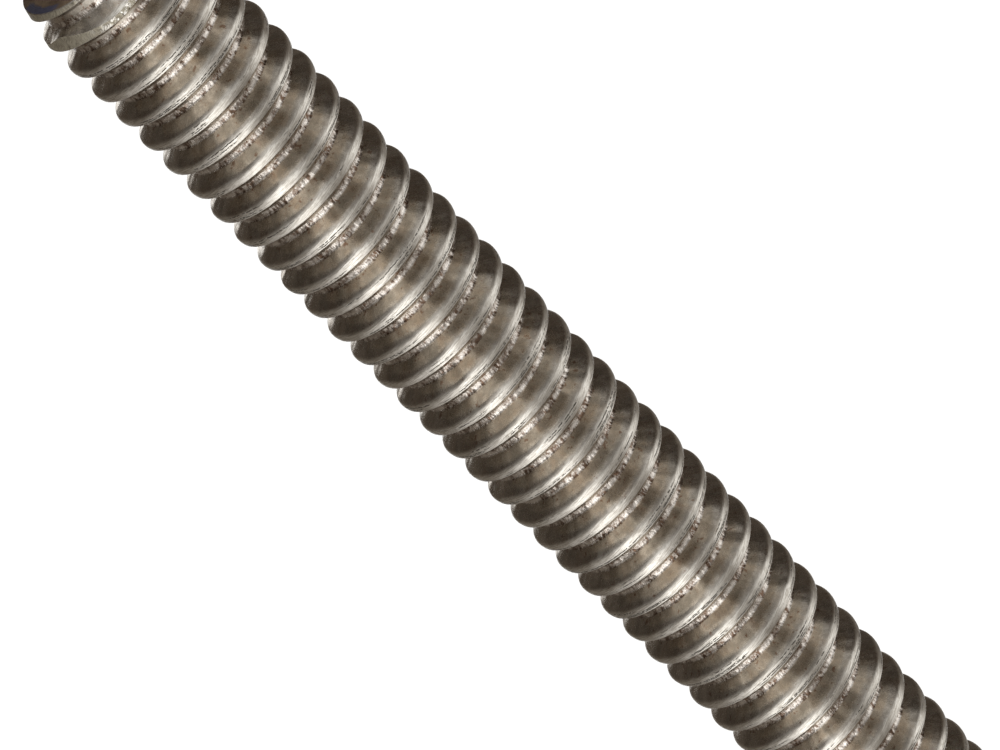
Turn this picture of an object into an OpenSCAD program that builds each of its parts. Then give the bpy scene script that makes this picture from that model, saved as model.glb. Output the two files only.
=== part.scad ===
// Fully threaded rod: a round bar with one right-hand V thread rolled from end to end.
// It stands on its lower end face, with the bar's axis along +Z and the origin at
// the middle of that face.

/* [Rod] */
// Length from one end face to the other
rod_length = 76.2; // [25.4:1.27:82.55]
// Outside diameter, over the thread crests
major_d = 6.2; // [4.5:0.05:12]

/* [Thread] */
// Distance from one crest to the next, along the axis
pitch = 1.27; // [1.2:0.01:2.5]
// Depth of the thread, from crest to root
thread_depth = 0.61; // [0.3:0.01:0.8]
// Width of the flat land on top of each crest
crest_flat = 0.26; // [0.1:0.01:0.5]
// Angle between the two flanks of the groove
thread_angle = 60; // [30:1:70]

/* [Ends] */
// How far the rim of each end face lies inside the crests
end_drop = 0.35; // [0.1:0.05:0.6]
// Slope of the lead-in turned on each end, measured from the axis
lead_in_angle = 11.5; // [5:0.5:45]

/* [Quality] */
// Straight segments in one turn of the thread
segments = 24; // [12:1:24]
// Fragments in a full circle of the turned bar
bar_fragments = 96; // [24:12:180]

/* [Hidden] */

steel = [0.60, 0.58, 0.54];

major_r = major_d / 2;
root_r = major_r - thread_depth;
flank_slope = tan(thread_angle / 2);

// The cutter sticks out past the crests, by less than would let its turns touch.
cutter_r = major_r + crest_flat / 4;

end_r = major_r - end_drop;
lead_in_length = end_drop / tan(lead_in_angle);

// Half the width of the groove at radius r: it widens from the root along both flanks.
function groove_half(r) = (pitch - crest_flat) / 2 - (major_r - r) * flank_slope;

// The cutter's outline at a turn angle, in the plane through the axis. The middle
// of the groove rises by one pitch in a full turn.
function groove_section(angle) =
    let (middle = pitch * angle / 360)
    [for (corner = [[root_r, -1], [cutter_r, -1], [cutter_r, 1], [root_r, 1]])
        let (r = corner[0], z = middle + corner[1] * groove_half(r))
        [r * cos(angle), r * sin(angle), z]];

// The bar before threading, with a shallow cone turned on each end.
module turned_bar() {
    rotate_extrude($fn = bar_fragments)
        polygon([
            [0, 0],
            [end_r, 0],
            [major_r, lead_in_length],
            [major_r, rod_length - lead_in_length],
            [end_r, rod_length],
            [0, rod_length],
        ]);
}

// The room between the ridges: one helical groove, which starts half a turn below
// the bar and ends at least half a turn above it.
module thread_groove() {
    corners = 4;
    steps = segments * (ceil(rod_length / pitch) + 1);
    points = [for (step = [0:steps]) each groove_section(360 * step / segments - 180)];
    start_cap = [for (j = [corners - 1:-1:0]) j];
    end_cap = [for (j = [0:corners - 1]) corners * steps + j];
    walls = [
        for (step = [0:steps - 1], j = [0:corners - 1])
            let (k = (j + 1) % corners, low = corners * step, high = low + corners)
            each [
                [low + j, low + k, high + k],
                [low + j, high + k, high + j],
            ]
    ];
    polyhedron(points, concat([start_cap], walls, [end_cap]), convexity = 10);
}

module threaded_rod() {
    color(steel)
        difference() {
            turned_bar();
            thread_groove();
        }
}

threaded_rod();
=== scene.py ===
"""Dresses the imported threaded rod: a rolled V thread with its finishes, a small studio and a camera."""

import logging
import math
from dataclasses import dataclass, field
from enum import Enum
from typing import Callable, ClassVar, Iterable, Union

import bpy
from mathutils import Matrix, Vector


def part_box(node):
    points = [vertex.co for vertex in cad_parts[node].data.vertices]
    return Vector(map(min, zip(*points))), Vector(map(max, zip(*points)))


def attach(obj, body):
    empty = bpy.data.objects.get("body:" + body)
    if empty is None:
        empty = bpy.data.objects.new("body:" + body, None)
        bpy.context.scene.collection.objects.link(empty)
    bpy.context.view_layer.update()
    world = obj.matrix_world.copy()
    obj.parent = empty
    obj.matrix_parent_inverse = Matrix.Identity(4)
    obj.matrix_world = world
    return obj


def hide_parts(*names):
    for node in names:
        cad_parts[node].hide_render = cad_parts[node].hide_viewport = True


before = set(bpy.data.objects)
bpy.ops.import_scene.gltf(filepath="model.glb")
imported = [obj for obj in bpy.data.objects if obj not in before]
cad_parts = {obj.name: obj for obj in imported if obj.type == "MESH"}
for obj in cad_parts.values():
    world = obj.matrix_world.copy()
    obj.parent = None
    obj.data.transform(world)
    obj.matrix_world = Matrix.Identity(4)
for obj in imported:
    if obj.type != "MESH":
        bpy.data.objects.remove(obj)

LOG = logging.getLogger("threaded_rod")

MM = 0.001
HAIR = 0.0002 * MM
NODE = "threaded_rod"
BODY = "root"

Socket = bpy.types.NodeSocket
Key = Union[int, str]
Value = Union[float, Socket]
Span = tuple[float, float]
Colour = tuple[float, float, float, float]
Paint = Union[Colour, Socket]

WHITE: Colour = (1.0, 1.0, 1.0, 1.0)


class Region(Enum):
    """The surfaces of the rod that have a finish of their own, by material index."""

    THREAD = 0
    TURNED_END = 1
    END_FACE = 2


class Depth(float, Enum):
    """Depths at which the thread's flat patterns are read, so that no two are alike."""

    SEAM_DRIFT = 3.0
    SEAM_JITTER = 5.0
    SEAM_PRESENCE = 7.0
    SEAM_BREAKS = 11.0
    RAGGED = 17.0
    STAIN = 23.0
    LOOSE = 29.0


# --------------------------------------------------------------------------- mesh helpers


def set_mode(mode: str) -> None:
    """Go to a mode: OBJECT or EDIT."""
    bpy.ops.object.mode_set(mode=mode)


def select_all() -> None:
    """Select the whole mesh in edit mode."""
    bpy.ops.mesh.select_all(action="SELECT")


def deselect_all() -> None:
    """Leave object mode with nothing selected and nothing active."""
    if bpy.context.object and bpy.context.object.mode != "OBJECT":
        set_mode("OBJECT")
    bpy.ops.object.select_all(action="DESELECT")
    bpy.context.view_layer.objects.active = None


def make_active(piece: bpy.types.Object) -> None:
    """Select one piece alone.

    Args:
        piece: the object that the next operator works on.
    """
    deselect_all()
    piece.select_set(True)
    bpy.context.view_layer.objects.active = piece


def modify(piece: bpy.types.Object, name: str, kind: str, **settings: object) -> None:
    """Put a modifier on a piece and turn its result into the piece's own mesh.

    Args:
        piece: the object to change.
        name: a name for the modifier.
        kind: the modifier's type.
        **settings: properties to set on it.
    """
    modifier = piece.modifiers.new(name, kind)
    for setting, value in settings.items():
        setattr(modifier, setting, value)
    make_active(piece)
    bpy.ops.object.modifier_apply(modifier=name)


def select_vertices(piece: bpy.types.Object, chosen: Callable[[Vector], bool]) -> None:
    """Select the vertices that a test chooses, and the edges and faces between them.

    Args:
        piece: the active object, in edit mode.
        chosen: says of a vertex's place whether it is wanted.
    """
    bpy.ops.mesh.select_mode(type="VERT")
    bpy.ops.mesh.select_all(action="DESELECT")
    set_mode("OBJECT")
    for vertex in piece.data.vertices:
        vertex.select = chosen(vertex.co)
    set_mode("EDIT")
    bpy.ops.mesh.select_mode(type="VERT")


def at_height(height: float, within: float) -> Callable[[Vector], bool]:
    """Make the test that chooses the vertices at a height, give or take a tolerance."""
    return lambda place: abs(place.z - height) < within


# --------------------------------------------------------------------------- finishes


@dataclass(frozen=True)
class Pattern:
    """A noise pattern, and the blotches that it leaves.

    Attributes:
        scale: features per unit of the coordinates.
        detail: octaves.
        roughness: how strong the finer octaves are.
        start: the noise value at which a blotch begins to show.
        full: the value at which it shows in full, above start or below it.
        share: how strongly it covers what lies under it.
    """

    scale: float
    detail: float = 2.0
    roughness: float = 0.5
    start: float = 0.0
    full: float = 1.0
    share: float = 1.0


class Graph:
    """A node tree under construction, with short ways to add the nodes that the finishes share."""

    def __init__(self, tree: bpy.types.NodeTree) -> None:
        """Start from an empty tree.

        Args:
            tree: the node tree to fill.
        """
        self.tree = tree
        self.tree.nodes.clear()

    def node(self, kind: str, inputs: dict[Key, object], **settings: object) -> bpy.types.Node:
        """Add a node.

        Args:
            kind: the node's type name.
            inputs: what its inputs get, by name or number: another node's output, or a plain value.
            **settings: properties to set on it.

        Returns:
            The new node.
        """
        made = self.tree.nodes.new(kind)
        for name, value in settings.items():
            setattr(made, name, value)
        for key, value in inputs.items():
            if isinstance(value, bpy.types.NodeSocket):
                self.tree.links.new(value, made.inputs[key])
            else:
                made.inputs[key].default_value = value
        return made

    def maths(self, operation: str, *values: Value) -> Socket:
        """Work out a number by an operation of the Math node."""
        return self.node("ShaderNodeMath", dict(enumerate(values)), operation=operation).outputs[0]

    def plus(self, one: Value, other: Value) -> Socket:
        """Add two numbers."""
        return self.maths("ADD", one, other)

    def minus(self, one: Value, other: Value) -> Socket:
        """Take the second number from the first."""
        return self.maths("SUBTRACT", one, other)

    def times(self, one: Value, other: Value) -> Socket:
        """Multiply two numbers."""
        return self.maths("MULTIPLY", one, other)

    def larger(self, one: Value, other: Value) -> Socket:
        """Take the larger of two numbers."""
        return self.maths("MAXIMUM", one, other)

    def distance(self, value: Value, place: Value) -> Socket:
        """Say how far a value lies from a place, whichever side it is on."""
        return self.maths("ABSOLUTE", self.minus(value, place))

    def vector(self, x: Value, y: Value, z: Value = 0.0) -> Socket:
        """Join three numbers into a vector."""
        return self.node("ShaderNodeCombineXYZ", {0: x, 1: y, 2: z}).outputs[0]

    def position(self, kind: str = "Object") -> tuple[Socket, Socket, Socket, Socket]:
        """Read where the shaded point is.

        Args:
            kind: the coordinates to read.

        Returns:
            The place as a vector, and its x, y and z.
        """
        place = self.node("ShaderNodeTexCoord", {}).outputs[kind]
        return place, *self.node("ShaderNodeSeparateXYZ", {0: place}).outputs

    def noise(self, where: Socket, pattern: Pattern) -> Socket:
        """Add a noise texture.

        Args:
            where: the coordinates to read it at.
            pattern: the noise's scale, detail and roughness.

        Returns:
            The noise value, about 0 to 1.
        """
        inputs = {"Vector": where, "Scale": pattern.scale, "Detail": pattern.detail}
        inputs["Roughness"] = pattern.roughness
        return self.node("ShaderNodeTexNoise", inputs, noise_dimensions="3D").outputs["Fac"]

    def noises(self, where: Socket, *patterns: Pattern) -> list[Socket]:
        """Add a noise texture for each of some patterns, all read at the same place."""
        return [self.noise(where, pattern) for pattern in patterns]

    def ramp(self, value: Value, low: float, high: float) -> Socket:
        """Stretch the range from low to high to 0 to 1, easing in and out of it."""
        inputs = {"Value": value, "From Min": low, "From Max": high}
        return self.node("ShaderNodeMapRange", inputs, interpolation_type="SMOOTHSTEP").outputs["Result"]

    def blotches(self, noise: Value, pattern: Pattern) -> Socket:
        """Say how strongly a pattern's blotches cover the surface, given its noise."""
        cover = self.ramp(noise, pattern.start, pattern.full)
        return cover if pattern.share == 1.0 else self.times(cover, pattern.share)

    def inside(self, value: Value, edge: float, fade: float) -> Socket:
        """Give 1 below an edge and 0 above it, with a fade of some width between them."""
        return self.minus(1.0, self.ramp(value, edge - fade / 2, edge + fade / 2))

    def spread(self, value: Value, width: float) -> Socket:
        """Turn a value from 0 to 1 into one about zero, which ranges over a width in all."""
        return self.times(self.minus(value, 0.5), width)

    def between(self, value: Value, low: Value, high: Value) -> Socket:
        """Mix two numbers: low where the value is 0, high where it is 1."""
        return self.node("ShaderNodeMix", {0: value, 2: low, 3: high}, data_type="FLOAT").outputs[0]

    def uneven(self, noise: Socket, span: Span) -> Socket:
        """Vary a number with a noise, from one end of a span to the other."""
        most_low, most_high = 0.3, 0.7
        return self.between(self.ramp(noise, most_low, most_high), *span)

    def blend(self, value: Value, low: Paint, high: Paint, mode: str = "MIX") -> Socket:
        """Mix two colours in a blend mode: low where the value is 0, high where it is 1."""
        inputs = {0: value, 6: low, 7: high}
        return self.node("ShaderNodeMix", inputs, data_type="RGBA", blend_type=mode).outputs[2]

    def layers(self, colour: Paint, *covers: tuple[Value, Paint]) -> Paint:
        """Lay colours over a first one.

        Args:
            colour: the first colour.
            *covers: the masks and their colours, from the lowest to the uppermost.

        Returns:
            The colour that all of them give.
        """
        for cover, over in covers:
            colour = self.blend(cover, colour, over)
        return colour

    def shade(self, value: Value) -> Socket:
        """Turn a number into a grey."""
        return self.node("ShaderNodeCombineColor", {0: value, 1: value, 2: value}).outputs[0]

    def facets(self, where: Socket, scale: float) -> tuple[Socket, Socket]:
        """Break a surface into small flat facets, each tilted its own way.

        Args:
            where: the coordinates to read it at.
            scale: facets per unit of the coordinates.

        Returns:
            The height of the facets, for slopes of up to a half, and a random shade for each.
        """
        inputs = {"Vector": where, "Scale": scale}
        cells = self.node("ShaderNodeTexVoronoi", inputs, voronoi_dimensions="2D", feature="F1").outputs
        offset, tilt = (
            self.node("ShaderNodeVectorMath", {0: one, 1: other}, operation="SUBTRACT").outputs[0]
            for one, other in ((where, cells["Position"]), (cells["Color"], (0.5, 0.5, 0.5)))
        )
        inputs = {0: offset, 1: tilt}
        height = self.node("ShaderNodeVectorMath", inputs, operation="DOT_PRODUCT").outputs["Value"]
        return height, self.node("ShaderNodeSeparateColor", {0: cells["Color"]}).outputs[2]

    def bump(self, height: Socket, depth: float) -> Socket:
        """Tilt the surface's normal by a height, whose unit is given in metres as the depth."""
        return self.node("ShaderNodeBump", {"Strength": 1.0, "Distance": depth, "Height": height}).outputs[0]


@dataclass(frozen=True)
class ThreadPlaces:
    """Coordinates that run with the thread, in millimetres: along the helix, and across it."""

    along: Socket
    across: Socket
    place: Socket

    @classmethod
    def read(cls, graph: Graph, pitch: float, radius: float, centre_on_root: bool = False) -> "ThreadPlaces":
        """Work the coordinates out from the piece's own space.

        Args:
            graph: the tree to add to.
            pitch: the thread's pitch in metres.
            radius: the radius at which the helix is measured, in metres.
            centre_on_root: whether across is 0 in the middle of the root and not of the crest.

        Returns:
            The sockets of the coordinates.
        """
        place, x, y, z = graph.position()
        turn = graph.maths("DIVIDE", graph.maths("ARCTAN2", y, x), math.tau)
        rise = graph.minus(graph.maths("DIVIDE", z, pitch), turn)
        if centre_on_root:
            rise = graph.plus(rise, 0.5)
        ridge = graph.maths("FLOOR", rise)
        within = graph.minus(graph.minus(rise, ridge), 0.5)
        along = graph.times(graph.plus(ridge, turn), math.tau * radius / MM)
        across = graph.times(within, pitch / MM)
        return cls(along, across, place)


@dataclass(frozen=True)
class Coat:
    """How a patch of steel looks: its colour, its roughness and its relief in millimetres."""

    colour: Paint
    roughness: Value
    relief: Socket

    def over(self, graph: Graph, cover: Socket, below: "Coat") -> "Coat":
        """Lay this coat over another where a mask covers it.

        Args:
            graph: the tree to add to.
            cover: 1 where this coat covers.
            below: the coat that shows elsewhere.

        Returns:
            Both coats as one.
        """
        return Coat(
            graph.blend(cover, below.colour, self.colour),
            graph.between(cover, below.roughness, self.roughness),
            graph.between(cover, below.relief, self.relief),
        )


@dataclass(frozen=True)
class SteelFinish:
    """What all the rod's finishes share: a bare metal shader."""

    name: ClassVar[str] = "steel"

    def lay(self, graph: Graph) -> Coat:
        """Make the coat that the finish gives the steel."""
        raise NotImplementedError

    def build(self) -> bpy.types.Material:
        """Make the material.

        Returns:
            The material, a metal shader that wears the coat.
        """
        material = bpy.data.materials.new(self.name)
        material.use_nodes = True
        graph = Graph(material.node_tree)
        coat = self.lay(graph)
        inputs = {"Metallic": 1.0, "Base Color": coat.colour, "Roughness": coat.roughness}
        inputs["Normal"] = graph.bump(coat.relief, MM)
        shader = graph.node("ShaderNodeBsdfPrincipled", inputs)
        graph.node("ShaderNodeOutputMaterial", {"Surface": shader.outputs[0]})
        return material


@dataclass(frozen=True)
class Seam:
    """A lap that rolling folded into the land: its place across it, and how seldom it shows, 0 to 1."""

    place_mm: float
    rarity: float


@dataclass(frozen=True)
class CrestCoat:
    """The rolled lands: the brightest steel, drawn with fine lines, with dark broken seams."""

    bright: Colour = (0.95, 0.93, 0.88, 1.0)
    dull: Colour = (0.50, 0.465, 0.415, 1.0)
    dark: Colour = (0.05, 0.04, 0.03, 1.0)
    worn: Pattern = Pattern(1500.0, 4.0, 0.65, start=0.42, full=0.66, share=0.35)
    grain: Pattern = Pattern(15000.0, 2.0, 0.6, start=0.50, full=0.68, share=0.35)
    lines: Pattern = Pattern(1.0, 3.0, 0.65, start=0.46, full=0.58, share=0.80)
    lines_along: float = 2.0
    lines_across: float = 24.0
    lines_slant: float = 0.10
    lines_height_mm: float = 0.007
    roughness: Span = (0.31, 0.40)
    seams: tuple[Seam, ...] = (Seam(-0.155, 0.48), Seam(-0.085, 0.53), Seam(0.035, 0.56))
    seam_width_mm: float = 0.030
    seam_core: float = 0.2
    seam_depth_mm: float = 0.012
    drift: Pattern = Pattern(0.9, 1.0)
    drift_mm: float = 0.09
    jitter: Pattern = Pattern(5.0, 3.0, 0.65)
    jitter_mm: float = 0.10
    presence: Pattern = Pattern(0.35, 2.0, 0.6)
    presence_fade: float = 0.04
    breaks: Pattern = Pattern(9.0, 3.0, 0.65, start=0.42, full=0.49)

    def draw_seams(self, graph: Graph, thread: ThreadPlaces) -> Socket:
        """Draw the laps: dark lines that wander and break.

        Args:
            graph: the tree to add to.
            thread: the thread's coordinates.

        Returns:
            1 on a seam and 0 off it.
        """
        along, fade = thread.along, self.presence_fade
        total: Value = 0.0
        for number, seam in enumerate(self.seams):
            drift = graph.noise(graph.vector(along, 0.0, Depth.SEAM_DRIFT + number), self.drift)
            jitter = graph.noise(graph.vector(along, 0.0, Depth.SEAM_JITTER + number), self.jitter)
            wander = graph.plus(graph.spread(drift, self.drift_mm), graph.spread(jitter, self.jitter_mm))
            line = graph.distance(graph.minus(thread.across, seam.place_mm), wander)
            line = graph.ramp(line, self.seam_width_mm, self.seam_core * self.seam_width_mm)
            there = graph.noise(graph.vector(along, Depth.SEAM_PRESENCE + number), self.presence)
            broken = graph.noise(graph.vector(along, thread.across, Depth.SEAM_BREAKS + number), self.breaks)
            line = graph.times(line, graph.ramp(there, seam.rarity - fade, seam.rarity + fade))
            line = graph.times(line, graph.blotches(broken, self.breaks))
            total = graph.larger(total, line)
        return total

    def lay(self, graph: Graph, thread: ThreadPlaces) -> Coat:
        """Make the coat.

        Args:
            graph: the tree to add to.
            thread: the thread's coordinates.

        Returns:
            The land's coat.
        """
        slanted = graph.minus(thread.across, graph.times(thread.along, self.lines_slant))
        slanted = graph.times(slanted, self.lines_across)
        lines = graph.noise(graph.vector(graph.times(thread.along, self.lines_along), slanted), self.lines)
        seam = self.draw_seams(graph, thread)
        worn, grain = graph.noises(thread.place, self.worn, self.grain)
        colour = graph.layers(
            self.bright,
            (graph.blotches(worn, self.worn), self.dull),
            (graph.blotches(lines, self.lines), self.dull),
            (graph.blotches(grain, self.grain), self.dull),
            (seam, self.dark),
        )
        relief = graph.minus(graph.spread(lines, self.lines_height_mm), graph.times(seam, self.seam_depth_mm))
        return Coat(colour, graph.uneven(lines, self.roughness), relief)


@dataclass(frozen=True)
class FlankCoat:
    """The flanks: smooth, brown-grey and softly clouded, with rust specks towards the root."""

    pale: Colour = (0.66, 0.61, 0.545, 1.0)
    deep: Colour = (0.45, 0.415, 0.365, 1.0)
    brown: Colour = (0.50, 0.43, 0.355, 1.0)
    rust: Colour = (0.24, 0.13, 0.08, 1.0)
    cloud: Pattern = Pattern(1500.0, 4.0, 0.6, start=0.36, full=0.64)
    stain: Pattern = Pattern(1.3, 4.0, 0.6, start=0.46, full=0.62, share=0.75)
    mottle: Pattern = Pattern(5200.0, 2.0, 0.6, start=0.48, full=0.66, share=0.45)
    grain: Pattern = Pattern(15000.0, 2.0, 0.7, start=0.50, full=0.72, share=0.55)
    specks: Pattern = Pattern(3600.0, 3.0, 0.6, start=0.645, full=0.70, share=0.7)
    foot_mm: Span = (0.25, 0.50)
    foot_gain: float = 0.06
    roughness: Span = (0.22, 0.32)
    mottle_mm: float = 0.0040
    grain_mm: float = 0.0022

    def lay(self, graph: Graph, thread: ThreadPlaces) -> Coat:
        """Make the coat.

        Args:
            graph: the tree to add to.
            thread: the thread's coordinates.

        Returns:
            The flank's coat.
        """
        patterns = (self.cloud, self.mottle, self.grain, self.specks)
        cloud, mottle, grain, speck = graph.noises(thread.place, *patterns)
        stain = graph.noise(graph.vector(thread.along, thread.across, Depth.STAIN), self.stain)
        foot = graph.ramp(graph.maths("ABSOLUTE", thread.across), *self.foot_mm)
        speck = graph.plus(speck, graph.times(foot, self.foot_gain))
        colour = graph.layers(
            self.pale,
            (graph.blotches(cloud, self.cloud), self.deep),
            (graph.blotches(stain, self.stain), self.brown),
            (graph.blotches(mottle, self.mottle), self.deep),
            (graph.blotches(grain, self.grain), self.deep),
            (graph.blotches(speck, self.specks), self.rust),
        )
        relief = graph.plus(graph.spread(mottle, self.mottle_mm), graph.spread(grain, self.grain_mm))
        return Coat(colour, graph.uneven(mottle, self.roughness), relief)


@dataclass(frozen=True)
class Grains:
    """Flat grains in the root.

    Attributes:
        scale: grains per unit of the coordinates.
        start: the shade at which a grain begins to turn into a pit.
        full: the shade at which it is one.
        height: how strong the relief is.
    """

    scale: float
    start: float
    full: float
    height: float


@dataclass(frozen=True)
class RootCoat:
    """The groove's floor: bright, glittering grains, with brown pits where it is dirty, and painted shade on
    its upper edge, under the ridge above.
    """

    bright: Colour = (0.93, 0.885, 0.84, 1.0)
    pit: Colour = (0.17, 0.105, 0.07, 1.0)
    # shade colours both the random dirt and the painted shade under the ridge above
    shade: Colour = (0.26, 0.20, 0.15, 1.0)
    warp: Pattern = Pattern(9.0, 3.0, 0.6)
    warp_mm: float = 0.10
    finer_along: float = 1.25
    finer_across: float = 0.62
    coarse: Grains = Grains(8.5, start=0.33, full=0.27, height=0.19)
    fine: Grains = Grains(17.0, start=0.36, full=0.28, height=0.08)
    holes: Pattern = Pattern(14.0, 2.0, 0.7, start=0.46, full=0.40)
    dirt: Pattern = Pattern(1.3, 3.0, 0.65, start=0.43, full=0.59)
    dirt_share: float = 0.50
    pit_shares: Span = (0.05, 0.95)
    # painted shade under the ridge above: the heights on the root over which it darkens, and how much
    painted_shade_mm: Span = (-0.09, 0.01)
    painted_shade_share: float = 0.27
    roughness: float = 0.13

    def lay(self, graph: Graph, thread: ThreadPlaces) -> Coat:
        """Make the coat.

        Args:
            graph: the tree to add to.
            thread: the thread's coordinates, centred on the root.

        Returns:
            The root's coat.
        """
        where = graph.vector(thread.along, thread.across)
        warp = graph.spread(graph.noise(where, self.warp), self.warp_mm)
        bent = graph.vector(
            graph.times(graph.plus(thread.along, warp), self.finer_along),
            graph.times(graph.minus(thread.across, warp), self.finer_across),
        )
        height, shade = graph.facets(bent, self.coarse.scale)
        fine, fine_shade = graph.facets(bent, self.fine.scale)
        dirt = graph.blotches(graph.noise(where, self.dirt), self.dirt)
        pitted = graph.larger(
            graph.ramp(shade, self.coarse.start, self.coarse.full),
            graph.ramp(fine_shade, self.fine.start, self.fine.full),
        )
        pitted = graph.larger(pitted, graph.blotches(graph.noise(where, self.holes), self.holes))
        pitted = graph.times(pitted, graph.between(dirt, *self.pit_shares))
        # painted shade: the root darkens towards its upper edge, under the overhang of the ridge above
        painted_shade = graph.times(graph.ramp(thread.across, *self.painted_shade_mm), self.painted_shade_share)
        dim = graph.times(dirt, self.dirt_share)
        colour = graph.layers(self.bright, (dim, self.shade), (painted_shade, self.shade), (pitted, self.pit))
        relief = graph.plus(graph.times(height, self.coarse.height), graph.times(fine, self.fine.height))
        return Coat(colour, self.roughness, relief)


@dataclass(frozen=True)
class ThreadFinish(SteelFinish):
    """The whole thread: flanks, with the roots and the rubbed crests blended into them.

    Attributes:
        pitch: the thread's pitch in metres.
        radius: its outside radius in metres.
        land_top_mm: the land's upper edge, above the middle of the crest.
        land_foot_mm: the two heights between which its lower edge fades in.
        land_loose_mm: how far the upper edge swings, slowly.
        land_ragged_mm: how far it frays, quickly.
        root_shift_mm: how far the bright floor lies below the middle of the root.
        root_edge_mm: half the floor's width.
        sway_mm: how far the upper flank swells and sinks.
        sway_from_mm: the two heights between which the sway sets in.
    """

    name: ClassVar[str] = "rolled_thread"
    pitch: float
    radius: float
    land_top_mm: float = 0.11
    land_fade_mm: float = 0.16
    land_foot_mm: Span = (-0.305, -0.265)
    land_loose_mm: float = 0.30
    land_ragged_mm: float = 0.10
    root_shift_mm: float = 0.060
    root_edge_mm: float = 0.118
    root_fade_mm: float = 0.04
    root_ragged_mm: float = 0.07
    sway_mm: float = 0.28
    sway_from_mm: Span = (-0.04, 0.38)
    ragged: Pattern = Pattern(1.8, 3.0, 0.6)
    loose: Pattern = Pattern(0.45, 2.0, 0.5)
    wave: Pattern = Pattern(520.0, 2.0, 0.5)
    wave_mm: float = 0.038
    crest: CrestCoat = CrestCoat()
    flank: FlankCoat = FlankCoat()
    root: RootCoat = RootCoat()

    def lay(self, graph: Graph) -> Coat:
        """Make the coat.

        Args:
            graph: the tree to add to.

        Returns:
            The thread's coat.
        """
        on_crest = ThreadPlaces.read(graph, self.pitch, self.radius)
        on_root = ThreadPlaces.read(graph, self.pitch, self.radius, centre_on_root=True)
        ragged = graph.noise(graph.vector(on_crest.along, 0.0, Depth.RAGGED), self.ragged)
        loose = graph.noise(graph.vector(on_crest.along, 0.0, Depth.LOOSE), self.loose)
        rise = graph.minus(on_crest.across, graph.spread(ragged, self.land_ragged_mm))
        rise = graph.minus(rise, graph.spread(loose, self.land_loose_mm))
        land = graph.inside(rise, self.land_top_mm, self.land_fade_mm)
        land = graph.times(land, graph.ramp(on_crest.across, *self.land_foot_mm))
        edge = graph.maths("ABSOLUTE", graph.plus(on_root.across, self.root_shift_mm))
        edge = graph.plus(edge, graph.spread(ragged, self.root_ragged_mm))
        floor = graph.inside(edge, self.root_edge_mm, self.root_fade_mm)
        coat = self.flank.lay(graph, on_crest)
        coat = self.root.lay(graph, on_root).over(graph, floor, coat)
        coat = self.crest.lay(graph, on_crest).over(graph, land, coat)
        wave = graph.noise(on_crest.place, self.wave)
        relief = graph.plus(coat.relief, graph.spread(wave, self.wave_mm))
        sway = graph.times(graph.spread(loose, self.sway_mm), graph.ramp(on_crest.across, *self.sway_from_mm))
        return Coat(coat.colour, coat.roughness, graph.plus(relief, sway))


@dataclass(frozen=True)
class TurnedFinish(SteelFinish):
    """The lead-in cones: pale and matt, ticked by the turning tool, and rubbed bright away from one side.

    Attributes:
        dull_bearing: the middle of the side that stays matt.
        dull_half: half the angle that it takes up.
        rubbing: the angles past that edge at which the steel starts to be rubbed and is rubbed in full.
    """

    name: ClassVar[str] = "turned_lead_in"
    matt: Colour = (0.78, 0.745, 0.63, 1.0)
    deep: Colour = (0.46, 0.42, 0.34, 1.0)
    fleck: Colour = (0.95, 0.93, 0.88, 1.0)
    dirt: Colour = (0.10, 0.075, 0.05, 1.0)
    dull_bearing: float = math.radians(143)
    dull_half: float = math.radians(22)
    rubbing: Span = (-0.08, 0.34)
    wander: Pattern = Pattern(1500.0)
    wander_angle: float = 0.3
    ticks: Pattern = Pattern(1.0, start=0.42, full=0.58, share=0.75)
    ticks_around: float = 80.0
    ticks_up: float = 3000.0
    ticks_mm: float = 0.008
    cloud: Pattern = Pattern(1500.0, 4.0, 0.65, start=0.42, full=0.58)
    nicks: Pattern = Pattern(5200.0, 3.0, 0.7, start=0.56, full=0.62)
    nicks_mm: float = 0.045
    pit_shares: Span = (0.25, 0.85)
    relief_shares: Span = (0.25, 1.0)
    flecks: Pattern = Pattern(3800.0, 3.0, 0.65, start=0.48, full=0.54)
    matt_roughness: float = 0.58
    fleck_roughness: float = 0.20

    def lay(self, graph: Graph) -> Coat:
        """Make the coat.

        Args:
            graph: the tree to add to.

        Returns:
            The cones' coat.
        """
        place, x, y, z = graph.position()
        wander, cloud, nicks, flecks = graph.noises(place, self.wander, self.cloud, self.nicks, self.flecks)
        away = graph.distance(graph.maths("ARCTAN2", y, x), self.dull_bearing)
        away = graph.plus(away, graph.spread(wander, self.wander_angle))
        rubbed = graph.ramp(away, *(self.dull_half + step for step in self.rubbing))
        where = graph.vector(graph.times(away, self.ticks_around), graph.times(z, self.ticks_up))
        ticks = graph.noise(where, self.ticks)
        flecks = graph.times(graph.blotches(flecks, self.flecks), rubbed)
        clouded = graph.times(graph.blotches(cloud, self.cloud), rubbed)
        ticked = graph.blotches(ticks, self.ticks)
        pits = graph.times(graph.blotches(nicks, self.nicks), graph.between(rubbed, *self.pit_shares))
        covers = ((clouded, self.deep), (ticked, self.deep), (flecks, self.fleck), (pits, self.dirt))
        relief = graph.times(graph.spread(nicks, self.nicks_mm), graph.between(rubbed, *self.relief_shares))
        relief = graph.plus(relief, graph.spread(ticks, self.ticks_mm))
        roughness = graph.between(flecks, self.matt_roughness, self.fleck_roughness)
        return Coat(graph.layers(self.matt, *covers), roughness, relief)


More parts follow.
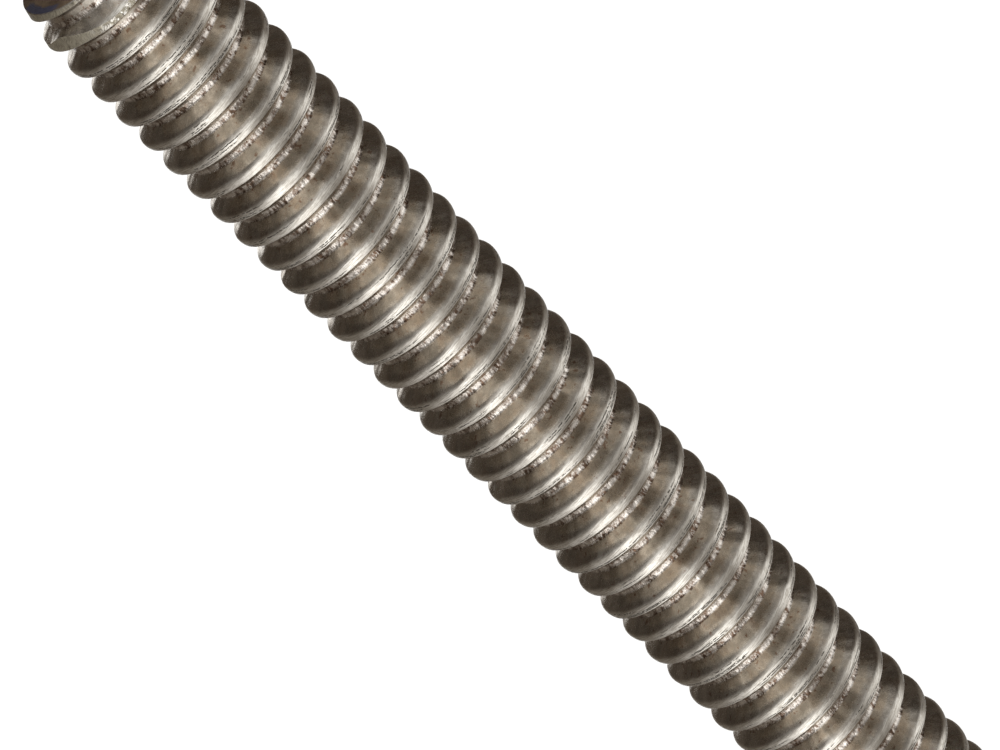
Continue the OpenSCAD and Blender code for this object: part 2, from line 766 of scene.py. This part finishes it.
@dataclass(frozen=True)
class EndFaceFinish(SteelFinish):
    """The end faces: dull brown steel with turning rings, and a blue stain by the rim."""

    name: ClassVar[str] = "end_face"
    steel: Colour = (0.46, 0.35, 0.25, 1.0)
    dark: Colour = (0.26, 0.185, 0.13, 1.0)
    blue: Colour = (0.17, 0.18, 0.29, 1.0)
    stain_bearing: float = math.radians(130)
    stain_half: float = math.radians(26)
    stain_fade: float = 0.12
    stain_from_mm: float = 2.38
    stain_rim_mm: Span = (-0.05, 0.08)
    cloud: Pattern = Pattern(900.0, 4.0, 0.6, start=0.36, full=0.66)
    ragged: Pattern = Pattern(2600.0, 3.0, 0.65)
    ragged_mm: float = 0.02
    fray_angle: float = 0.25
    fray_mm: float = 0.22
    rings: Pattern = Pattern(16.0, 2.0, 0.6)
    rings_mm: float = 0.012
    roughness: Span = (0.3, 0.5)

    def lay(self, graph: Graph) -> Coat:
        """Make the coat.

        Args:
            graph: the tree to add to.

        Returns:
            The end faces' coat.
        """
        place, x, y, _ = graph.position()
        reach = graph.maths("SQRT", graph.plus(graph.times(x, x), graph.times(y, y)))
        reach = graph.maths("DIVIDE", reach, MM)
        rings = graph.noise(graph.vector(reach, 0.0), self.rings)
        cloud, ragged = graph.noises(place, self.cloud, self.ragged)
        aside = graph.distance(graph.maths("ARCTAN2", y, x), self.stain_bearing)
        aside = graph.plus(aside, graph.spread(ragged, self.fray_angle))
        out = graph.plus(reach, graph.spread(ragged, self.fray_mm))
        stain = graph.ramp(aside, self.stain_half, self.stain_half - self.stain_fade)
        by_rim = graph.ramp(out, *(self.stain_from_mm + step for step in self.stain_rim_mm))
        stain = graph.times(stain, by_rim)
        colour = graph.layers(self.steel, (graph.blotches(cloud, self.cloud), self.dark), (stain, self.blue))
        relief = graph.plus(graph.spread(rings, self.rings_mm), graph.spread(ragged, self.ragged_mm))
        return Coat(colour, graph.between(cloud, *self.roughness), relief)


# --------------------------------------------------------------------------- the rod


@dataclass
class ThreadForm:
    """The thread's profile, for one pitch, with the rounding that rolling leaves.

    Attributes:
        lip_reach: how much further the land's lower half reaches than the land of the solid.
        lip_drop: how much lower, towards the axis, that half ends.
        bend_below: where the land starts to bend down, below the middle of the crest.
    """

    major_radius: float
    pitch: float = 1.27 * MM
    depth: float = 0.61 * MM
    crest_flat: float = 0.26 * MM
    thread_angle: float = math.radians(60)
    lip_reach: float = 0.11 * MM
    lip_drop: float = 0.05 * MM
    bend_below: float = 0.08 * MM
    bend_round: float = 0.05 * MM
    upper_crest_round: float = 0.11 * MM
    lower_crest_round: float = 0.025 * MM
    root_round: float = 0.10 * MM
    foot_round: float = 0.055 * MM

    @property
    def root_radius(self) -> float:
        """Radius of the groove's floor."""
        return self.major_radius - self.depth

    @property
    def crest_half(self) -> float:
        """Half the width of the crest land."""
        return self.crest_flat / 2

    @property
    def ridge_half(self) -> float:
        """Half the width of the ridge where it meets the root."""
        return self.crest_half + self.depth * math.tan(self.thread_angle / 2)

    def across(self, place: Vector) -> float:
        """Say how far a place lies above the middle of the ridge that it is on."""
        rise = place.z / self.pitch - math.atan2(place.y, place.x) / math.tau
        return (rise - math.floor(rise) - 0.5) * self.pitch

    def corners(self) -> list[Span]:
        """List the profile's corners, from one root's middle to the next.

        Returns:
            The (radius, height) of each.
        """
        root, crest = self.root_radius, self.major_radius
        return [
            (root, -self.pitch / 2),
            (root, -self.ridge_half),
            (crest - self.lip_drop, -self.crest_half - self.lip_reach),
            (crest, -self.bend_below),
            (crest, self.crest_half),
            (root, self.ridge_half),
            (root, self.pitch / 2),
        ]

    def roundings(self) -> list[tuple[Span, float, int]]:
        """List the corners to round.

        Returns:
            Each corner, the size of its rounding and the number of edges in it.
        """
        _, foot, lip, bend, crest, upper_foot, _ = self.corners()
        return [
            (foot, self.root_round, 2),
            (lip, self.lower_crest_round, 2),
            (bend, self.bend_round, 2),
            (crest, self.upper_crest_round, 4),
            (upper_foot, self.foot_round, 2),
        ]


@dataclass(frozen=True)
class Hump:
    """A soft hump over part of a turn: its middle and half its width, in degrees."""

    middle: float
    half: float

    def height(self, bearing: float) -> float:
        """Say how high the hump is at a bearing: 1 in its middle, 0 past its edges."""
        away = (bearing - self.middle + 180) % 360 - 180
        return math.cos(math.pi / 2 * min(1.0, abs(away) / self.half)) ** 2


@dataclass
class ThreadedRod:
    """The whole rod: a thread swept along the axis and trimmed by the bar that it was rolled on.

    Attributes:
        thinning: how much the ridge at each end loses, on the side away from that end.
        thin_turns: over how many turns the thinning fades out.
        thin_span: what part of the ridge is shifted, from its middle towards the side away from the end.
        first_turns: how many turns below the top face the first ridge starts and ends.
        patch: where the first ridge is worn into a broad patch.
        narrows: where it is worn narrow, past the patch.
        wear_shift: how far the worn parts of the ridge are shifted.
        overrun: how much wider than the crests the trimming bar is.
    """

    length: float
    form: ThreadForm
    end_drop: float = 0.35 * MM
    lead_in_angle: float = math.radians(11.5)
    thinning: float = 0.265 * MM
    thin_turns: float = 2.05
    thin_span: Span = (0.05 * MM, 0.60 * MM)
    first_turns: Span = (0.6, 1.6)
    patch: Hump = Hump(141, 24)
    narrows: Hump = Hump(191, 36)
    wear_shift: float = 0.22 * MM
    rim_round: float = 0.03 * MM
    steps: int = 76
    bar_sides: int = 144
    overrun: float = 0.05 * MM
    smooth_angle: float = math.radians(35)
    name: str = "threaded_rod_steel"
    finishes: dict[Region, bpy.types.Material] = field(default_factory=dict)

    @property
    def end_radius(self) -> float:
        """Radius of each end face's rim."""
        return self.form.major_radius - self.end_drop

    def draw_profile(self) -> bpy.types.Object:
        """Draw one pitch of the profile as a chain of edges in the XZ plane.

        Returns:
            The profile's object.
        """
        corners = self.form.corners()
        deselect_all()
        bpy.ops.mesh.primitive_plane_add(size=self.form.pitch)
        profile = bpy.context.object
        set_mode("EDIT")
        bpy.ops.mesh.select_mode(type="VERT")
        select_all()
        bpy.ops.mesh.merge(type="CENTER")
        bpy.ops.transform.translate(value=(corners[0][0], 0, corners[0][1]))
        for (r0, z0), (r1, z1) in zip(corners, corners[1:]):
            bpy.ops.mesh.extrude_region_move(TRANSFORM_OT_translate={"value": (r1 - r0, 0, z1 - z0)})
        for corner, size, segments in self.form.roundings():
            target = Vector((corner[0], 0, corner[1]))
            select_vertices(profile, lambda place, t=target: (place - t).length < 0.001 * MM)
            bpy.ops.mesh.bevel(offset=size, offset_type="OFFSET", segments=segments, affect="VERTICES")
        self.split_flanks(profile)
        set_mode("OBJECT")
        return profile

    def split_flanks(self, profile: bpy.types.Object) -> None:
        """Divide each straight flank in two.

        Args:
            profile: the profile, in edit mode.
        """
        set_mode("OBJECT")
        mesh = profile.data
        least_slant = 0.2 * self.form.depth
        flanks: list[tuple[float, int]] = []
        for edge in mesh.edges:
            start, end = (mesh.vertices[index].co for index in edge.vertices)
            if abs(end.x - start.x) > least_slant:
                flanks.append((-(end - start).length, edge.index))
        for item in (*mesh.vertices, *mesh.edges):
            item.select = False
        for _, index in sorted(flanks)[:2]:
            mesh.edges[index].select = True
        set_mode("EDIT")
        bpy.ops.mesh.select_mode(type="EDGE")
        bpy.ops.mesh.subdivide(number_cuts=1)

    def sweep(self) -> bpy.types.Object:
        """Sweep the profile up the axis, a pitch a turn, from below the foot to above the top.

        Returns:
            The swept thread, open at both ends.
        """
        pitch = self.form.pitch
        rod = self.draw_profile()
        make_active(rod)
        set_mode("EDIT")
        select_all()
        bpy.ops.transform.translate(value=(0, 0, -1.5 * pitch))
        set_mode("OBJECT")
        turns = math.ceil(self.length / pitch) + 3
        modify(
            rod, "sweep", "SCREW", axis="Z", angle=math.tau, steps=self.steps, render_steps=self.steps,
            iterations=turns, screw_offset=pitch, use_smooth_shade=True,
        )
        set_mode("EDIT")
        select_all()
        bpy.ops.mesh.remove_doubles(threshold=0.0005 * MM)
        set_mode("OBJECT")
        return rod

    def shift(self, rod: bpy.types.Object, name: str, shares: dict[int, float], distance: float) -> None:
        """Shift some vertices along the axis.

        Args:
            rod: the swept thread.
            name: a name for the shifted part.
            shares: the vertices, and how much of the distance each of them goes.
            distance: the whole distance, in metres.
        """
        group = rod.vertex_groups.new(name=name)
        for index, share in shares.items():
            group.add([index], share, "REPLACE")
        modify(rod, name, "DISPLACE", direction="Z", mid_level=0.0, strength=distance, vertex_group=name)

    def thin_ends(self, rod: bpy.types.Object) -> None:
        """Thin the ridges at each end on the side away from it, where the dies weren't yet full.

        Args:
            rod: the swept thread.
        """
        near, far = self.thin_span
        for name, end, way in (("top", self.length, 1), ("foot", 0.0, -1)):
            shares: dict[int, float] = {}
            for vertex in rod.data.vertices:
                turns_in = way * (end - vertex.co.z) / self.form.pitch
                share = min(1.0, 1.0 - turns_in / self.thin_turns)
                if share > 0 and near < -way * self.form.across(vertex.co) < far:
                    shares[vertex.index] = share
            self.shift(rod, name, shares, way * self.thinning)

    def wear_first_ridge(self, rod: bpy.types.Object) -> None:
        """Leave the top ridge uneven: a broad patch at one side, and a lower, narrow land past it.

        Args:
            rod: the swept thread.
        """
        form = self.form
        whole, lower_share, edge = 0.2 * MM, 0.5, 0.1 * MM
        raised: dict[int, float] = {}
        lowered: dict[int, float] = {}
        for vertex in rod.data.vertices:
            across = form.across(vertex.co)
            turns_in = (self.length - vertex.co.z + across) / form.pitch
            if not self.first_turns[0] < turns_in < self.first_turns[1] or abs(across) > form.ridge_half:
                continue
            bearing = math.degrees(math.atan2(vertex.co.y, vertex.co.x))
            fade = 1.0 - max(0.0, abs(across) - whole) / (form.ridge_half - whole)
            upper = min(1.0, max(0.0, across / edge + 1.0))
            raised[vertex.index] = self.patch.height(bearing) * upper * fade
            narrowed = lower_share + (1.0 - lower_share) * upper
            lowered[vertex.index] = self.narrows.height(bearing) * narrowed * fade
        self.shift(rod, "raised", raised, self.wear_shift)
        self.shift(rod, "lowered", lowered, -self.wear_shift)

    def close(self, rod: bpy.types.Object) -> None:
        """Cut the thread square a little outside each end face, and cap it.

        Args:
            rod: the swept thread.
        """
        beyond = 0.3 * self.form.pitch
        make_active(rod)
        set_mode("EDIT")
        for height, up in ((-beyond, False), (self.length + beyond, True)):
            select_all()
            bpy.ops.mesh.bisect(
                plane_co=(0, 0, height), plane_no=(0, 0, 1),
                clear_inner=not up, clear_outer=up, threshold=HAIR,
            )
            select_vertices(rod, at_height(height, HAIR))
            bpy.ops.mesh.edge_face_add()
        select_all()
        bpy.ops.mesh.normals_make_consistent(inside=False)
        set_mode("OBJECT")

    def turned_bar(self) -> bpy.types.Object:
        """Model the bar's outline: a cylinder just wider than the crests, with a cone at each end.

        Returns:
            The bar, whose cones and faces trim the thread.
        """
        radius = self.form.major_radius + self.overrun
        lead_in = (radius - self.end_radius) / math.tan(self.lead_in_angle)
        deselect_all()
        bpy.ops.mesh.primitive_cylinder_add(
            vertices=self.bar_sides, radius=radius, depth=self.length, location=(0, 0, self.length / 2)
        )
        bar = bpy.context.object
        bpy.ops.object.transform_apply(location=True, rotation=True, scale=True)
        set_mode("EDIT")
        for height in (lead_in, self.length - lead_in):
            select_all()
            bpy.ops.mesh.bisect(plane_co=(0, 0, height), plane_no=(0, 0, 1), threshold=HAIR)
        squeeze = self.end_radius / radius
        for height in (0.0, self.length):
            select_vertices(bar, at_height(height, 0.01 * MM))
            bpy.ops.transform.resize(value=(squeeze, squeeze, 1), center_override=(0, 0, height))
            bpy.ops.mesh.bevel(offset=self.rim_round, offset_type="OFFSET", segments=2, affect="EDGES")
        set_mode("OBJECT")
        for face in bar.data.polygons:
            face.use_smooth = True
        return bar

    def trim(self, rod: bpy.types.Object, bar: bpy.types.Object) -> None:
        """Keep of the thread only what lies inside the bar.

        Args:
            rod: the closed thread.
            bar: the turned bar, which is used up.
        """
        modify(rod, "trim", "BOOLEAN", operation="INTERSECT", solver="MANIFOLD", object=bar)
        bpy.data.objects.remove(bar)

    def region_of(self, centre: Vector, normal: Vector) -> Region:
        """Say which surface a face belongs to.

        Args:
            centre: the middle of the face.
            normal: the way it faces.

        Returns:
            The face's region.
        """
        skin, level, sideways = 0.02 * MM, 0.98, 0.9
        radius = math.hypot(centre.x, centre.y)
        from_end = min(centre.z, self.length - centre.z)
        if abs(normal.z) > level and from_end < skin:
            return Region.END_FACE
        cone = self.end_radius + from_end * math.tan(self.lead_in_angle)
        outward = Vector((centre.x, centre.y, 0)).normalized().dot(normal)
        if cone - skin < radius < self.form.major_radius and outward > sideways:
            return Region.TURNED_END
        return Region.THREAD

    def dress(self, rod: bpy.types.Object) -> None:
        """Give every face the finish of its region.

        Args:
            rod: the trimmed rod.
        """
        rod.data.materials.clear()
        for region in Region:
            rod.data.materials.append(self.finishes[region])
        for face in rod.data.polygons:
            face.material_index = self.region_of(face.center, face.normal).value

    def build(self) -> bpy.types.Object:
        """Model the rod and hang it on the frame.

        Returns:
            The finished piece.
        """
        rod = self.sweep()
        self.thin_ends(rod)
        self.wear_first_ridge(rod)
        self.close(rod)
        self.trim(rod, self.turned_bar())
        self.dress(rod)
        make_active(rod)
        bpy.ops.object.shade_smooth_by_angle(angle=self.smooth_angle)
        rod.name = rod.data.name = self.name
        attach(rod, BODY)
        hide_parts(NODE)
        LOG.info("%s: %d faces", rod.name, len(rod.data.polygons))
        return rod


# --------------------------------------------------------------------------- studio and camera


@dataclass(frozen=True)
class LightStrip:
    """A strip of soft light, upright in the world.

    Attributes:
        bearing: its middle, in degrees from the camera's side.
        half_width: half its width in degrees.
        softness: over how many degrees each edge fades.
        strength: how bright it is.
        foot: how low it reaches, as the height of a direction from -1 to 1.
        top: how high it reaches.
        fans: whether it closes up and drifts aside with height, like the others.
    """

    bearing: float
    half_width: float
    softness: float
    strength: float
    foot: float = -1.2
    top: float = 1.2
    fans: bool = True


@dataclass
class Studio:
    """A pale floor, a dim warm room, and strips of soft light that run over the rod.

    Attributes:
        closing: how much the strips close up towards the top.
        drift: how many degrees they drift aside there.
        dimming: how much of their light they lose there.
        backdrop_half: how far from the line of sight, in degrees, the white backdrop shows in the steel.
        backdrop_fade: over how many degrees it fades out past that.
    """

    camera_azimuth: float
    camera_elevation: float
    floor_size: float = 6.0
    floor_paint: Colour = (0.8, 0.8, 0.8, 1.0)
    floor_lift: float = 0.85
    room_below: Colour = (0.150, 0.128, 0.105, 1.0)
    room_above: Colour = (0.058, 0.047, 0.038, 1.0)
    room_heights: Span = (-0.40, 0.65)
    light: Colour = (1.0, 0.99, 0.965, 1.0)
    closing: float = 0.34
    drift: float = 2.5
    dimming: float = 0.42
    foot_fade: float = 0.04
    top_fade: float = 0.08
    backdrop_half: float = 16.0
    backdrop_fade: float = 5.0
    strips: tuple[LightStrip, ...] = (
        LightStrip(-13, 12, 16, 1.42),
        LightStrip(-34, 10, 20, 0.37, top=-0.31),
        LightStrip(-42, 12, 20, 0.27, foot=0.05),
        LightStrip(15, 14, 16, 0.085),
        LightStrip(15, 15, 16, 0.20, foot=-0.47),
        LightStrip(40.2, 10.3, 12, 0.87),
        LightStrip(-123, 15, 5, 2.30, foot=-0.20, top=0.04, fans=False),
    )

    def light_strips(self, graph: Graph, bearing: Socket, high: Socket, z: Socket) -> Socket:
        """Add up the light of the strips.

        Args:
            graph: the world's graph.
            bearing: the direction's bearing in degrees.
            high: 0 low in the room and 1 high in it.
            z: the direction's height.

        Returns:
            The light's strength.
        """
        fanned = graph.times(bearing, graph.between(high, 1.0, 1.0 + self.closing))
        fanned = graph.minus(fanned, graph.times(high, self.drift))
        total: Value = 0.0
        for strip in self.strips:
            away = graph.distance(fanned if strip.fans else bearing, strip.bearing)
            lit = graph.inside(away, strip.half_width, strip.softness)
            lit = graph.times(lit, graph.ramp(z, strip.foot - self.foot_fade, strip.foot + self.foot_fade))
            lit = graph.times(lit, graph.ramp(z, strip.top + self.top_fade, strip.top - self.top_fade))
            total = graph.plus(total, graph.times(lit, strip.strength))
        return graph.times(total, graph.between(high, 1.0, 1.0 - self.dimming))

    def build_world(self) -> None:
        """Light the rod from the world: a dim room crossed by the strips.

        Camera rays see white. So do mirrored and refracted rays that go on to the backdrop behind the rod.
        """
        world = bpy.data.worlds.new("studio")
        bpy.context.scene.world = world
        world.use_nodes = True
        graph = Graph(world.node_tree)
        _, x, y, z = graph.position("Generated")
        high = graph.ramp(z, *self.room_heights)
        turn, tilt = math.radians(self.camera_azimuth), math.radians(self.camera_elevation)
        nearer, across = (
            graph.plus(graph.times(x, way[0]), graph.times(y, way[1]))
            for way in ((math.cos(turn), math.sin(turn)), (-math.sin(turn), math.cos(turn)))
        )
        bearing = graph.maths("ARCTAN2", across, graph.plus(nearer, math.cos(tilt)))
        total = self.light_strips(graph, graph.times(bearing, 180 / math.pi), high, z)
        lit = graph.blend(1.0, self.light, graph.shade(total), "MULTIPLY")
        room = graph.blend(1.0, graph.blend(high, self.room_below, self.room_above), lit, "ADD")
        ahead = graph.minus(graph.times(nearer, -math.cos(tilt)), graph.times(z, math.sin(tilt)))
        outer, inner = self.backdrop_half + self.backdrop_fade, self.backdrop_half
        behind = graph.ramp(ahead, math.cos(math.radians(outer)), math.cos(math.radians(inner)))
        ray = graph.node("ShaderNodeLightPath", {}).outputs
        mirrored = graph.times(graph.larger(ray["Is Glossy Ray"], ray["Is Transmission Ray"]), behind)
        shown = graph.larger(ray["Is Camera Ray"], mirrored)
        background = graph.node("ShaderNodeBackground", {"Color": graph.blend(shown, room, WHITE)})
        graph.node("ShaderNodeOutputWorld", {"Surface": background.outputs[0]})

    def build_floor(self) -> None:
        """Lay the pale floor, which stays white behind the rod and keeps its shadow."""
        deselect_all()
        bpy.ops.mesh.primitive_plane_add(size=self.floor_size)
        floor = bpy.context.object
        floor.name = "floor"
        material = bpy.data.materials.new("pale_floor")
        material.use_nodes = True
        graph = Graph(material.node_tree)
        seen = graph.node("ShaderNodeLightPath", {}).outputs["Is Camera Ray"]
        paint = graph.node("ShaderNodeBsdfDiffuse", {"Color": self.floor_paint})
        lift = graph.node("ShaderNodeEmission", {"Strength": graph.times(seen, self.floor_lift)})
        both = graph.node("ShaderNodeAddShader", {0: paint.outputs[0], 1: lift.outputs[0]})
        graph.node("ShaderNodeOutputMaterial", {"Surface": both.outputs[0]})
        floor.data.materials.append(material)
        floor.visible_glossy = False

    def build(self) -> None:
        """Build the floor and the light."""
        self.build_world()
        self.build_floor()
        LOG.info("studio: %d strips of light, floor %.1f m", len(self.strips), self.floor_size)


@dataclass
class Viewpoint:
    """The camera: looking down on the top end, rolled so that the rod crosses the picture.

    Attributes:
        top: height of the rod's top face.
        pitch: the thread's pitch.
        turns_down: how many turns below the top face it looks at the axis.
        side_step: how far aside of the axis it looks.
    """

    top: float
    pitch: float
    turns_down: float = 17.65
    azimuth: float = -159.5
    elevation: float = 25.0
    lean: float = 45.56
    distance: float = 327.7 * MM
    side_step: float = 0.113 * MM
    lens: float = 333.8
    sensor: float = 36.0
    clip: Span = (0.01, 20.0)

    def build(self) -> bpy.types.Object:
        """Place the camera.

        Returns:
            The camera's object.
        """
        around, up, lean = (math.radians(angle) for angle in (self.azimuth, self.elevation, self.lean))
        towards = Vector((math.cos(around), math.sin(around), 0))
        aside = Vector((-math.sin(around), math.cos(around), 0))
        axis = Vector((0, 0, 1))
        back = towards * math.cos(up) + axis * math.sin(up)
        rise = axis * math.cos(up) - towards * math.sin(up)
        right = aside * math.sin(lean) - rise * math.cos(lean)
        upward = aside * math.cos(lean) + rise * math.sin(lean)
        target = Vector((0, 0, self.top - self.turns_down * self.pitch)) + aside * self.side_step
        data = bpy.data.cameras.new("camera")
        data.lens = self.lens
        data.sensor_width = self.sensor
        data.clip_start, data.clip_end = self.clip
        camera = bpy.data.objects.new("camera", data)
        bpy.context.scene.collection.objects.link(camera)
        turn = Matrix((right, upward, back)).transposed()
        camera.matrix_world = Matrix.Translation(target + back * self.distance) @ turn.to_4x4()
        bpy.context.scene.camera = camera
        LOG.info("camera: %.1f mm lens at %.1f mm", self.lens, self.distance / MM)
        return camera


def main() -> None:
    """Build the rod, the studio and the camera in order."""
    logging.basicConfig(level=logging.INFO, format="%(name)s: %(message)s")
    bpy.context.scene.view_settings.view_transform = "Standard"
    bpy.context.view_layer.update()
    low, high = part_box(NODE)
    form = ThreadForm(major_radius=(high.x - low.x) / 2)
    finishes = {
        Region.THREAD: ThreadFinish(pitch=form.pitch, radius=form.major_radius).build(),
        Region.TURNED_END: TurnedFinish().build(),
        Region.END_FACE: EndFaceFinish().build(),
    }
    ThreadedRod(length=high.z - low.z, form=form, finishes=finishes).build()
    view = Viewpoint(top=high.z, pitch=form.pitch)
    view.build()
    Studio(camera_azimuth=view.azimuth, camera_elevation=view.elevation).build()


if __name__ == "__main__":
    main()
